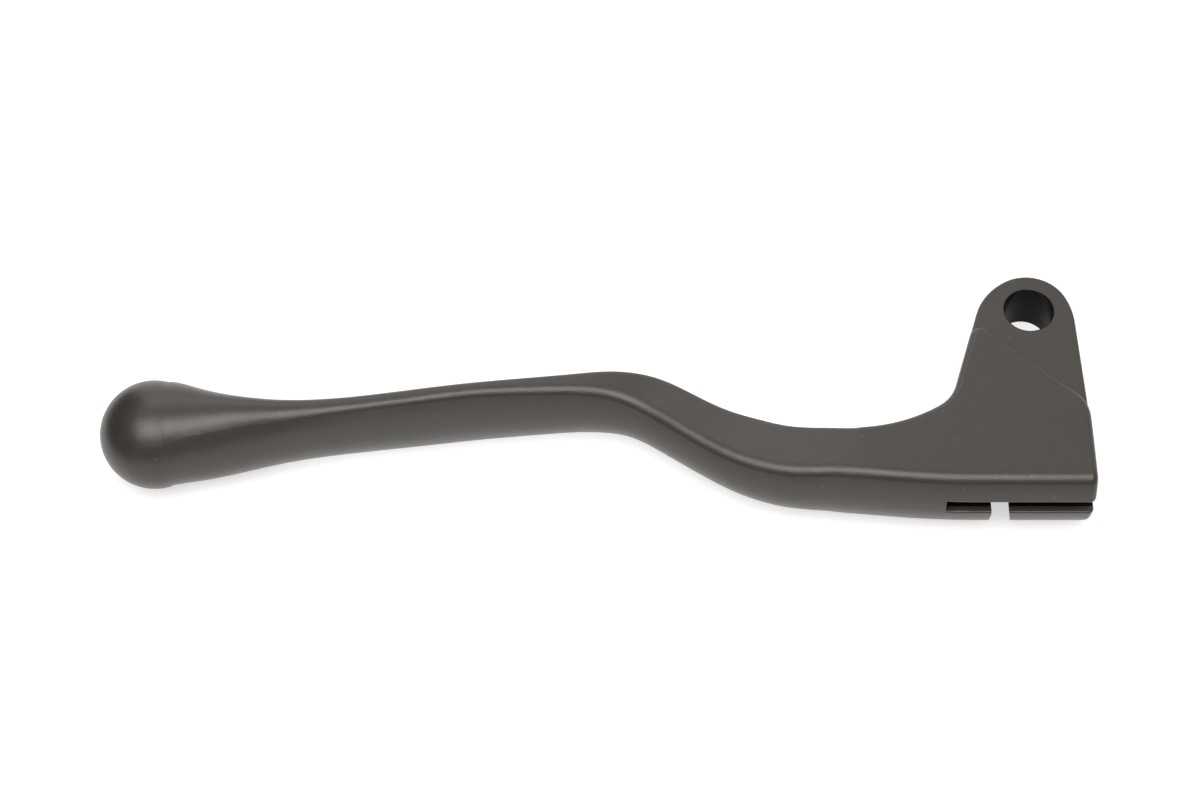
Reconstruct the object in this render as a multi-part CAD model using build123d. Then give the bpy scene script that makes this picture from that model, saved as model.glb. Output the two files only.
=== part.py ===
"""Hand brake lever for a cable-operated motorcycle or moped brake: one forging, in millimetres.

Frame: the origin is the centre of the pivot bore, half way through the tongue. +Z is the pivot
axis, +X runs along the straight front edge towards the cable's way out, and +Y points from the
fingers to the handlebar. The blade runs towards -X and ends in the ball.
"""
import os
from math import asin, cos, degrees, radians, sin, tan

from build123d import *

# tongue: the thinner plate that turns between the ears of the perch
BORE_D = 8.0
BORE_CHAMFER = 0.2
TONGUE_T = 9.2
TONGUE_ROUND = 0.45
TONGUE_ROOT = 3.0           # hidden length of the tongue inside the body
EYE_R = 6.83
LEFT_BLEND_ANGLE = 118      # polar angles where the round eye opens out into the flares
RIGHT_BLEND_ANGLE = 25
LEFT_FLARE_R = 11.0
RIGHT_FLARE_R = 12.9
LEFT_WALL_HEADING = 253.2
SIDE_LEAN = 2.1             # the right side leans this much out of the upright
SIDE_LENGTH = 16.0
SIDE_BEND_R = 200.0

# body: the thick block that the cable pulls on
BODY_T = 12.8
FRONT_Y = -35.5             # foremost line of the front face
EDGE_ROUND = 1.0
STEP_DISTANCE = 8.45        # from the bore's axis to the step that clears the perch
STEP_HEADING = -42.3
STEP_LEFT_R = 1.7
STEP_RIGHT_R = 6.0
LEFT_WALL_L = 15.7
THROAT_R = 7.0              # tight bend from the left wall into the rear edge
THROAT_TURN = -41.2
SADDLE_R = 27.0             # long hollow behind the body
SADDLE_TURN = -31.0
FRONT_ROUND = 2.2           # top edge of the front face
FRONT_TURN = 60             # how far that edge turns before the bulging face takes over
APPROACH_HEADING = -5.5     # the front edge leans this much before its straight stretch
APPROACH_R = 140.0
APPROACH_L = 6.0
STRAIGHT_START_X = -10.0

# cable slot, wire notch and nipple pocket
SLOT_H = 2.4
SLOT_Z = 0.48               # the slot's middle lies this far above mid height
SLOT_START_X = -15.45
SLOT_DEPTH = 10.0
UPPER_LIP_ROUND = 0.5       # long edges of the slot
LOWER_LIP_ROUND = 0.3
LIP_REACH = 1.2             # those edges lie within this distance of the front face
NOTCH_LEFT_X = -8.12
NOTCH_W = 2.8               # at the slot's lower side
NOTCH_DRAFT = 8.6           # lean of the notch's right wall, which widens it downwards
NOTCH_LEFT_ROUND = 1.5      # lower corners, seen from the front
NOTCH_RIGHT_ROUND = 0.8
POCKET_DEPTH = 8.1          # from the front face to the pocket's axis
POCKET_D = 8.2
POCKET_ROOF_Z = 4.2

# ball end
BALL_R = 8.75
BALL_X = -141.6
BALL_Y = -21.25
BALL_JOIN = 2.2             # the blade takes over this far from the ball's centre
BALL_HEADING = 2.0
CROWN_TURN = 4              # half angle of the top strip where the blade is round

# blade stations from the ball to the body: x, y of the top strip's middle, heading in degrees,
# width of the top strip, half height, then (edge radius, edge turn) at the front and the rear
STATIONS = [
    (-137.0, -20.90, 2, 0.6, 8.35, (7.2, 45), (6.8, 45)),
    (-133.0, -20.85, 3, 0.5, 8.30, (6.0, 45), (4.4, 45)),
    (-128.0, -20.65, 4, 0.3, 7.98, (4.6, 46), (2.6, 48)),
    (-121.0, -20.30, 5, 0.3, 7.15, (3.0, 52), (1.6, 50)),
    (-112.0, -19.55, 6, 0.3, 6.80, (1.9, 58), (1.2, 50)),
    (-100.0, -18.00, 7, 0.3, 7.02, (1.7, 60), (1.1, 50)),
    (-89.0, -16.47, 7, 0.3, 7.10, (1.8, 60), (1.0, 52)),
    (-80.0, -15.52, 6, 0.8, 6.72, (1.9, 60), (1.0, 58)),
    (-73.5, -14.90, 1, 1.4, 6.38, (2.0, 60), (1.0, 66)),
    (-68.0, -14.76, -12, 2.6, 5.92, (2.1, 60), (1.0, 74)),
    (-62.5, -15.95, -28, 3.9, 5.35, (2.2, 60), (1.0, 80)),
    (-56.9, -19.15, -34, 4.6, 5.20, (2.2, 60), (0.9, 84)),
    (-51.3, -22.60, -32, 5.3, 5.10, (2.2, 60), (0.9, 86)),
    (-46.0, -25.15, -22, 6.2, 5.30, (2.2, 60), (0.9, 87)),
    (-40.9, -26.80, -9, 6.4, 5.62, (2.2, 60), (0.85, 88)),
    (-36.5, -27.35, -5, 6.3, 5.95, (2.2, 60), (0.85, 89)),
    (-33.0, -27.52, -5.5, 6.2, 6.22, (2.2, 60), (0.85, 89)),
]

FAR = 60.0                  # larger than anything that a cutting shape has to pass
TOUCH = 0.01
NOTCH_AHEAD = 1.0           # the notch is cut from this far in front of the front face
FRONT_STRIP = 4.0           # depth of the strip that the front face's rounding takes up
STEP_RIGHT_CORNER = (7.8, -18.3, 0)


def runs(start, heading, *steps):
    """Chain of tangent edges; a step is a length, or (radius, degrees turned to the left)."""
    edges = []
    point = Vector(start)
    way = Vector(1, 0, 0).rotate(Axis.Z, heading)
    for step in steps:
        if isinstance(step, tuple):
            edge = JernArc(start=point, tangent=way, radius=step[0], arc_size=step[1])
        else:
            edge = Line(point, point + way * step)
        edges.append(edge)
        point = edge @ 1
        way = edge % 1
    return edges


def polar(radius, angle):
    return Vector(radius, 0, 0).rotate(Axis.Z, angle)


def plan():
    """Outline seen along the pivot axis; the front and the blade's side run past the real ones."""
    start = polar(EYE_R, RIGHT_BLEND_ANGLE)
    eye_turn = LEFT_BLEND_ANGLE - RIGHT_BLEND_ANGLE
    left_turn = LEFT_WALL_HEADING - 90 - LEFT_BLEND_ANGLE
    right_turn = SIDE_LEAN - RIGHT_BLEND_ANGLE
    right = runs(start, RIGHT_BLEND_ANGLE - 90, (RIGHT_FLARE_R, right_turn), SIDE_LENGTH,
                 (SIDE_BEND_R, -SIDE_LEAN), FAR)
    left = runs(start, RIGHT_BLEND_ANGLE + 90, (EYE_R, eye_turn), (LEFT_FLARE_R, left_turn),
                LEFT_WALL_L, (THROAT_R, THROAT_TURN), (SADDLE_R, SADDLE_TURN), FAR)
    low = right[-1] @ 1
    end = left[-1] @ 1
    corner = Vector(end.X, low.Y)
    return make_face(right + left + [Line(low, corner), Line(corner, end)])


def behind_step(distance):
    """Half of the plan on the body's side of a line parallel to the step."""
    return Rot(0, 0, STEP_HEADING) * Pos(0, -distance - FAR) * Rectangle(4 * FAR, 2 * FAR)


def side_points(half_h, round_r, turn, strip):
    """Points of one side of a section: edge start, middle and end, and the mid-height point."""
    a = radians(turn)
    if turn == 90:
        middle = (strip + round_r, 0)
    else:
        bulge_r = round_r + (half_h - round_r) / cos(a)
        middle = (strip + (round_r - bulge_r) * sin(a) + bulge_r, 0)
    start = (strip, half_h)
    half = (strip + round_r * sin(a / 2), half_h - round_r * (1 - cos(a / 2)))
    end = (strip + round_r * sin(a), half_h - round_r * (1 - cos(a)))
    return start, half, end, middle


def section_plane(x, y, heading):
    """Plane across the blade: its x points to the front and its y points up."""
    return Plane(origin=(x, y, 0), x_dir=Vector(0, -1, 0).rotate(Axis.Z, heading),
                 z_dir=Vector(-1, 0, 0).rotate(Axis.Z, heading))


def blade_section(x, y, heading, strip, half_h, front, rear):
    """Closed section across the blade, symmetric about mid height."""
    plane = section_plane(x, y, heading)
    sides = [(1, side_points(half_h, *front, strip / 2)),
             (-1, side_points(half_h, *rear, strip / 2))]

    def at(side, point, up):
        way, points = sides[side]
        n, z = points[point]
        return plane.from_local_coords(Vector(way * n, up * z, 0))

    return Wire([
        Line(at(1, 0, 1), at(0, 0, 1)),
        ThreePointArc(at(0, 0, 1), at(0, 1, 1), at(0, 2, 1)),
        ThreePointArc(at(0, 2, 1), at(0, 3, 1), at(0, 2, -1)),
        ThreePointArc(at(0, 2, -1), at(0, 1, -1), at(0, 0, -1)),
        Line(at(0, 0, -1), at(1, 0, -1)),
        ThreePointArc(at(1, 0, -1), at(1, 1, -1), at(1, 2, -1)),
        ThreePointArc(at(1, 2, -1), at(1, 3, 1), at(1, 2, 1)),
        ThreePointArc(at(1, 2, 1), at(1, 1, 1), at(1, 0, 1)),
    ])


def ball_centre():
    return Vector(BALL_X, BALL_Y, 0)


def ball_join_plane():
    way = Vector(BALL_JOIN, 0, 0).rotate(Axis.Z, BALL_HEADING)
    centre = ball_centre() + way
    return section_plane(centre.X, centre.Y, BALL_HEADING)


def ball_section():
    """Circle where the blade meets the ball, split into edges like a blade section."""
    plane = ball_join_plane()
    radius = (BALL_R**2 - BALL_JOIN**2) ** 0.5

    def at(angle):
        a = radians(angle)
        return plane.from_local_coords(Vector(radius * sin(a), radius * cos(a), 0))

    marks = [-CROWN_TURN, CROWN_TURN, FRONT_TURN, 180 - FRONT_TURN, 180 - CROWN_TURN,
             180 + CROWN_TURN, 180 + FRONT_TURN, 360 - FRONT_TURN, 360 - CROWN_TURN]
    return Wire([ThreePointArc(at(a), at((a + b) / 2), at(b)) for a, b in zip(marks, marks[1:])])


def front_path():
    """Foremost line of the body, from the join with the blade to past the right end."""
    turn = -APPROACH_HEADING
    a = radians(turn)
    start = Vector(STRAIGHT_START_X - APPROACH_R * sin(a) - APPROACH_L * cos(a),
                   FRONT_Y + APPROACH_R * (1 - cos(a)) + APPROACH_L * sin(a))
    return start, runs(start, APPROACH_HEADING, APPROACH_L, (APPROACH_R, turn), FAR)


def front_prism():
    """The body's front profile, with a flat top and bottom, swept along the front path."""
    start, path = front_path()
    plane = section_plane(start.X, start.Y, APPROACH_HEADING)
    edge, half, end, middle = side_points(BODY_T / 2, FRONT_ROUND, FRONT_TURN, 0)
    depth = middle[0]

    def at(point, up=1):
        return plane.from_local_coords(Vector(point[0] - depth, up * point[1], 0))

    rear = (-FAR / 2, BODY_T / 2)
    profile = Wire([
        Line(at(rear), at(edge)),
        ThreePointArc(at(edge), at(half), at(end)),
        ThreePointArc(at(end), at(middle), at(end, -1)),
        ThreePointArc(at(end, -1), at(half, -1), at(edge, -1)),
        Line(at(edge, -1), at(rear, -1)),
        Line(at(rear, -1), at(rear)),
    ])
    return sweep(make_face(profile.edges()), path=Wire(path))


def on_join(edge):
    """True for an edge that lies in the plane between body and blade."""
    start, _ = front_path()
    way = Vector(1, 0, 0).rotate(Axis.Z, APPROACH_HEADING)
    return all(abs((vertex.center() - start).dot(way)) < TOUCH for vertex in edge.vertices())


def rims(shape, half_t):
    """Edges round the two flat faces, apart from the front face's and the join's."""
    level = [e for e in shape.edges() if all(abs(abs(v.Z) - half_t) < TOUCH for v in e.vertices())]
    return [e for e in level if e.center().Y > FRONT_Y + FRONT_STRIP and not on_join(e)]


def body():
    """Thick block with its slot side still closed, and its outer edges rounded."""
    shape = plan() & behind_step(STEP_DISTANCE)
    left = shape.vertices().sort_by(Axis.Y)[-1]
    shape = fillet(left, STEP_LEFT_R)
    right = shape.vertices().sort_by_distance(STEP_RIGHT_CORNER)[0]
    shape = fillet(right, STEP_RIGHT_R)
    block = extrude(shape, BODY_T / 2, both=True) & front_prism()
    end = block.faces().sort_by(Axis.X)[-1]
    end_arcs = [e for e in end.edges() if e.center().Y < FRONT_Y + FRONT_STRIP]
    return fillet(rims(block, BODY_T / 2) + end_arcs, EDGE_ROUND)


def tongue():
    """Thin plate with the eye; its root is hidden inside the body."""
    shape = plan() - behind_step(STEP_DISTANCE + TONGUE_ROOT)
    plate = extrude(shape, TONGUE_T / 2, both=True)
    root_line = Vector(0, 1, 0).rotate(Axis.Z, STEP_HEADING)
    root = -STEP_DISTANCE - TONGUE_ROOT + TOUCH
    free = [e for e in rims(plate, TONGUE_T / 2) if e.center().dot(root_line) > root]
    return fillet(free, TONGUE_ROUND)


def blade(last):
    """Grip and dog-leg, lofted from the ball through the stations to the body's end face."""
    return Solid.make_loft([ball_section()] + [blade_section(*row) for row in STATIONS] + [last])


def ball():
    """Ball, up to where the blade takes over."""
    join_angle = degrees(asin(BALL_JOIN / BALL_R))
    dome = Sphere(BALL_R, arc_size1=-join_angle, arc_size2=90, align=None)
    return ball_join_plane().location * Pos(0, 0, BALL_JOIN) * Rot(0, 0, 90 - CROWN_TURN) * dome


def pivot_bore():
    """Bore through the tongue, with a small chamfer at both mouths."""
    radius = BORE_D / 2
    mouth = Pos(0, 0, TONGUE_T / 2 - BORE_CHAMFER) * Cone(
        radius, radius + BORE_CHAMFER, BORE_CHAMFER,
        align=(Align.CENTER, Align.CENTER, Align.MIN))
    return Cylinder(radius, TONGUE_T) + mouth + mirror(mouth, Plane.XY)


def notch_face():
    """The notch seen from the front, with the room below the lever that it opens to."""
    plane = Plane(origin=(NOTCH_LEFT_X, FRONT_Y, 0), x_dir=(1, 0, 0), z_dir=(0, -1, 0))
    roof = SLOT_Z - SLOT_H / 2
    base = -BODY_T / 2
    low_width = NOTCH_W + (roof - base) * tan(radians(NOTCH_DRAFT))
    face = make_face(Polyline([
        (0, SLOT_Z), (NOTCH_W, SLOT_Z), (NOTCH_W, roof), (low_width, base),
        (FAR, base), (FAR, -FAR), (-FAR, -FAR), (-FAR, base), (0, base), (0, SLOT_Z)]))
    face = fillet(face.vertices().sort_by_distance((0, base, 0))[0], NOTCH_LEFT_ROUND)
    face = fillet(face.vertices().sort_by_distance((low_width, base, 0))[0], NOTCH_RIGHT_ROUND)
    return plane * Pos(0, 0, NOTCH_AHEAD) * face


def cable_slot():
    """Slot that the cable lies in, open at the front and at the right end."""
    return Pos(SLOT_START_X, FRONT_Y + SLOT_DEPTH, SLOT_Z) * Box(
        FAR, FAR, SLOT_H, align=(Align.MIN, Align.MAX, Align.CENTER))


def nipple_way():
    """Notch that the wire swings in through, and pocket for its nipple."""
    notch = extrude(notch_face(), NOTCH_AHEAD + POCKET_DEPTH, dir=(0, 1, 0))
    pocket = Pos(NOTCH_LEFT_X + NOTCH_W / 2, FRONT_Y + POCKET_DEPTH, POCKET_ROOF_Z) * Cylinder(
        POCKET_D / 2, FAR, align=(Align.CENTER, Align.CENTER, Align.MAX))
    return notch + pocket


def lip(shape, level):
    """The slot's long edges in the front face, at one level."""
    ahead = [e for e in shape.edges() if e.center().Y < FRONT_Y + LIP_REACH]
    return [e for e in ahead if all(abs(v.Z - level) < TOUCH for v in e.vertices())]


def lever():
    """The whole forging."""
    block = body()
    join = [f for f in block.faces() if all(on_join(e) for e in f.edges())][0]
    whole = block + tongue() + blade(join.outer_wire()) + ball() - cable_slot()
    whole = fillet(lip(whole, SLOT_Z + SLOT_H / 2), UPPER_LIP_ROUND)
    whole = fillet(lip(whole, SLOT_Z - SLOT_H / 2), LOWER_LIP_ROUND)
    return whole - nipple_way() - pivot_bore()


def main():
    os.makedirs("parts", exist_ok=True)
    export_step(lever(), "parts/lever.step")


main()
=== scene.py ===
"""Looks of a black hand brake lever: satin coat, pale floor and soft studio light."""
from math import cos, pi, radians, sin

import bpy
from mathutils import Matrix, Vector


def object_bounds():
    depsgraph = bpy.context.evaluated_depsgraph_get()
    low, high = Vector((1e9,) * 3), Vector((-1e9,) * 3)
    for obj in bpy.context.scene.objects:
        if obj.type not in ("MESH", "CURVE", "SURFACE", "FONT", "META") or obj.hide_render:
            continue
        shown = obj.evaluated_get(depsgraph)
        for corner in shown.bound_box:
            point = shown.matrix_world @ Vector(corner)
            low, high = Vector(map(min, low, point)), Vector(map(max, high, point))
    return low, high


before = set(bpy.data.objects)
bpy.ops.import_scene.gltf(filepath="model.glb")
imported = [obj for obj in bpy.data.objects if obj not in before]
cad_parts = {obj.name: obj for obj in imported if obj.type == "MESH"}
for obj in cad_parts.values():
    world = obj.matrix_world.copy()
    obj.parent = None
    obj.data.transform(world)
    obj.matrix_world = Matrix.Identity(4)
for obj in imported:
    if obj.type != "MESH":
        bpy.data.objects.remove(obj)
cad_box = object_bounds()

# coat
COAT_COLOUR = (0.034, 0.0295, 0.0255)
COAT_ROUGHNESS = 0.36
COAT_GLOSS = 0.5            # specular level
ROUGHNESS_SWING = 0.04      # slow change of the roughness along the lever
GRAIN_SIZE = 0.00022        # metres from one grain of the coat to the next
GRAIN_DEPTH = 0.00003
GRAIN_DETAIL = 3.0
WAVE_SIZE = 0.0035          # slow unevenness of the coat
WAVE_DEPTH = 0.00004
WAVE_DETAIL = 2.0
SPECK_SIZE = 0.0013         # mean distance between the cells that may hold a pale speck
SPECK_RADIUS = 0.10         # as a part of that distance
SPECK_SHARE = 0.2           # part of the cells that hold one
SPECK_COLOUR = (0.14, 0.13, 0.12)

# painted shade inside the pivot bore and the cable slot: the coat there is painted near black,
# with a low specular level, for the shade in these recesses; the masks just take in their walls
PAINTED_SHADE_COLOUR = (0.006, 0.005, 0.005)
PAINTED_SHADE_GLOSS = 0.06         # specular level
BORE_MASK_R = 0.00412       # round the origin, which is the bore's centre
SLOT_MASK_LOW = (-0.0156, -0.0343, -0.00074)    # starts behind the slot's rounded lips
SLOT_MASK_HIGH = (0.0090, -0.0252, 0.00170)

# lights: tilt is in degrees from the vertical towards the camera, level is radiance, and the
# lengths are metres
LIGHT_COLOUR = (1.0, 0.965, 0.93)
KEY = {"tilt": 22, "side": -0.10, "distance": 0.9, "width": 1.0, "depth": 0.56, "level": 6.3}
BACK = {"tilt": -40, "side": -0.07, "distance": 0.9, "width": 0.34, "depth": 0.45, "level": 1.6}
FLOOR_GLOW = 0.56           # the floor's own light, added to what the lights throw on it
FLOOR_COLOUR = 0.55
FLOOR_ROUGHNESS = 0.9
FLOOR_SIZE = 8
SKY_FRONT = 0.05            # strength on the camera's side, up to SKY_FRONT_Y
SKY_FRONT_Y = -0.3          # Y of the direction that the light comes from
SKY_BACK = 1.2              # strength straight behind the lever
SKY_BACK_Y = 1.0
CARD_GAP = 0.035            # from the ball end to the dark card beyond it
CARD_DEPTH = 0.16
CARD_HEIGHT = 0.09
CARD_COLOUR = 0.01

# camera
CAMERA_PLACE = (-0.0701, -0.27388, 0.39175)
CAMERA_TILT = 33.5          # degrees from straight down
CAMERA_LENS = 87            # millimetres
CAMERA_SENSOR = 36
CAMERA_CLIP = 0.01


class Nodes:
    """Small helper that adds nodes to a tree and links them."""

    def __init__(self, tree):
        self.tree = tree
        tree.nodes.clear()

    def add(self, kind, settings=None, **inputs):
        node = self.tree.nodes.new(kind)
        for name, value in (settings or {}).items():
            setattr(node, name, value)
        for name, value in inputs.items():
            socket = node.inputs[name.replace("_", " ")]
            if isinstance(value, bpy.types.NodeSocket):
                self.tree.links.new(value, socket)
            else:
                socket.default_value = value
        return node


def maths(n, operation, first, second):
    """Output of a Math node; each input is a socket or a number."""
    node = n.add("ShaderNodeMath", {"operation": operation})
    for socket, value in zip(node.inputs, (first, second)):
        if isinstance(value, bpy.types.NodeSocket):
            n.tree.links.new(value, socket)
        else:
            socket.default_value = value
    return node.outputs["Value"]


def specks(n, place):
    """1 inside a scattered pale speck, 0 elsewhere."""
    cells = n.add("ShaderNodeTexVoronoi", Vector=place, Scale=1 / SPECK_SIZE)
    near = n.add("ShaderNodeMapRange", Value=cells.outputs["Distance"],
                 From_Min=SPECK_RADIUS, From_Max=SPECK_RADIUS / 2)
    draw = n.add("ShaderNodeSeparateColor", Color=cells.outputs["Color"])
    chosen = maths(n, "LESS_THAN", draw.outputs["Red"], SPECK_SHARE)
    return maths(n, "MULTIPLY", near.outputs["Result"], chosen)


def painted_shade_mask(n, place):
    """Mask of the painted shade: 1 inside the pivot bore and the cable slot, 0 elsewhere."""
    axes = n.add("ShaderNodeSeparateXYZ", Vector=place)
    x = axes.outputs["X"]
    y = axes.outputs["Y"]
    square = maths(n, "ADD", maths(n, "MULTIPLY", x, x), maths(n, "MULTIPLY", y, y))
    bore = maths(n, "LESS_THAN", square, BORE_MASK_R**2)
    slot = 1.0
    for name, low, high in zip("XYZ", SLOT_MASK_LOW, SLOT_MASK_HIGH):
        above = maths(n, "GREATER_THAN", axes.outputs[name], low)
        below = maths(n, "LESS_THAN", axes.outputs[name], high)
        slot = maths(n, "MULTIPLY", slot, maths(n, "MULTIPLY", above, below))
    return maths(n, "MAXIMUM", bore, slot)


def coat_material():
    """Grained, slightly wavy satin coat with a few pale specks, and painted shade inside the bore
    and the slot.
    """
    material = bpy.data.materials.new("black_coat")
    material.use_nodes = True
    n = Nodes(material.node_tree)
    place = n.add("ShaderNodeTexCoord").outputs["Object"]
    grain = n.add("ShaderNodeTexNoise", Vector=place, Scale=1 / GRAIN_SIZE,
                  Detail=GRAIN_DETAIL)
    wave = n.add("ShaderNodeTexNoise", Vector=place, Scale=1 / WAVE_SIZE,
                 Detail=WAVE_DETAIL)
    low = n.add("ShaderNodeBump", Height=wave.outputs["Fac"], Distance=WAVE_DEPTH)
    high = n.add("ShaderNodeBump", Height=grain.outputs["Fac"], Distance=GRAIN_DEPTH,
                 Normal=low.outputs["Normal"])
    rough = n.add("ShaderNodeMapRange", Value=wave.outputs["Fac"],
                  To_Min=COAT_ROUGHNESS - ROUGHNESS_SWING, To_Max=COAT_ROUGHNESS + ROUGHNESS_SWING)
    colour = n.add("ShaderNodeMixRGB", Fac=specks(n, place), Color1=(*COAT_COLOUR, 1),
                   Color2=(*SPECK_COLOUR, 1))
    # painted shade: near-black colour and a low specular level inside the bore and the slot
    inside = painted_shade_mask(n, place)
    last = n.add("ShaderNodeMixRGB", Fac=inside, Color1=colour.outputs["Color"],
                 Color2=(*PAINTED_SHADE_COLOUR, 1))
    gloss = n.add("ShaderNodeMapRange", Value=inside, To_Min=COAT_GLOSS, To_Max=PAINTED_SHADE_GLOSS)
    shader = n.add("ShaderNodeBsdfPrincipled", Base_Color=last.outputs["Color"],
                   Roughness=rough.outputs["Result"], Normal=high.outputs["Normal"],
                   Specular_IOR_Level=gloss.outputs["Result"])
    n.add("ShaderNodeOutputMaterial", Surface=shader.outputs["BSDF"])
    return material


def floor():
    """Plain pale floor, with light of its own that keeps it near white."""
    lo, hi = cad_box
    middle_x = (lo.x + hi.x) / 2
    bpy.ops.mesh.primitive_plane_add(size=FLOOR_SIZE, location=(middle_x, 0, lo.z))
    plane = bpy.context.object
    plane.name = "floor"
    material = bpy.data.materials.new("floor_white")
    material.use_nodes = True
    n = Nodes(material.node_tree)
    shader = n.add("ShaderNodeBsdfPrincipled", Roughness=FLOOR_ROUGHNESS,
                   Base_Color=(FLOOR_COLOUR, FLOOR_COLOUR, FLOOR_COLOUR, 1),
                   Emission_Color=(1, 1, 1, 1), Emission_Strength=FLOOR_GLOW)
    n.add("ShaderNodeOutputMaterial", Surface=shader.outputs["BSDF"])
    plane.data.materials.append(material)


def dark_card():
    """Card that darkens the ball's far side, out of the camera's sight."""
    lo, hi = cad_box
    place = (lo.x - CARD_GAP, (lo.y + hi.y) / 2, lo.z + CARD_HEIGHT / 2)
    bpy.ops.mesh.primitive_plane_add(size=1, rotation=(0, pi / 2, 0), location=place)
    card = bpy.context.object
    card.name = "dark_card"
    card.scale = (CARD_HEIGHT, CARD_DEPTH, 1)
    card.visible_camera = False
    card.visible_shadow = False
    material = bpy.data.materials.new("card_black")
    material.use_nodes = True
    n = Nodes(material.node_tree)
    shader = n.add("ShaderNodeBsdfDiffuse", Color=(CARD_COLOUR, CARD_COLOUR, CARD_COLOUR, 1))
    n.add("ShaderNodeOutputMaterial", Surface=shader.outputs["BSDF"])
    card.data.materials.append(material)


def sky():
    """Pale room: bright behind the lever, dim on the camera's side."""
    world = bpy.data.worlds.new("room")
    bpy.context.scene.world = world
    world.use_nodes = True
    n = Nodes(world.node_tree)
    way = n.add("ShaderNodeTexCoord").outputs["Generated"]
    axes = n.add("ShaderNodeSeparateXYZ", Vector=way)
    level = n.add("ShaderNodeMapRange", Value=axes.outputs["Y"], From_Min=SKY_FRONT_Y,
                  From_Max=SKY_BACK_Y, To_Min=SKY_FRONT, To_Max=SKY_BACK)
    back = n.add("ShaderNodeBackground", Color=(1, 1, 1, 1), Strength=level.outputs["Result"])
    n.add("ShaderNodeOutputWorld", Surface=back.outputs["Background"])


def softbox(name, box):
    """Large rectangular light, aimed at the lever's middle and then moved sideways."""
    lo, hi = cad_box
    middle = (lo + hi) / 2
    a = radians(box["tilt"])
    data = bpy.data.lights.new(name, "AREA")
    data.shape = "RECTANGLE"
    data.color = LIGHT_COLOUR
    data.size = box["width"]
    data.size_y = box["depth"]
    data.energy = box["level"] * pi * box["width"] * box["depth"]
    light = bpy.data.objects.new(name, data)
    light.location = middle + Vector((0, -sin(a), cos(a))) * box["distance"]
    light.location.x += box["side"]
    light.rotation_euler = (a, 0, 0)
    bpy.context.scene.collection.objects.link(light)


def camera():
    """Camera in front of the lever, looking down at it."""
    data = bpy.data.cameras.new("camera")
    data.lens = CAMERA_LENS
    data.sensor_width = CAMERA_SENSOR
    data.clip_start = CAMERA_CLIP
    cam = bpy.data.objects.new("camera", data)
    cam.location = CAMERA_PLACE
    cam.rotation_euler = (radians(CAMERA_TILT), 0, 0)
    bpy.context.scene.collection.objects.link(cam)
    bpy.context.scene.camera = cam


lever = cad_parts["lever"]
lever.data.materials.clear()
lever.data.materials.append(coat_material())
floor()
dark_card()
sky()
softbox("key_softbox", KEY)
softbox("back_softbox", BACK)
camera()
bpy.context.scene.view_settings.view_transform = "Standard"
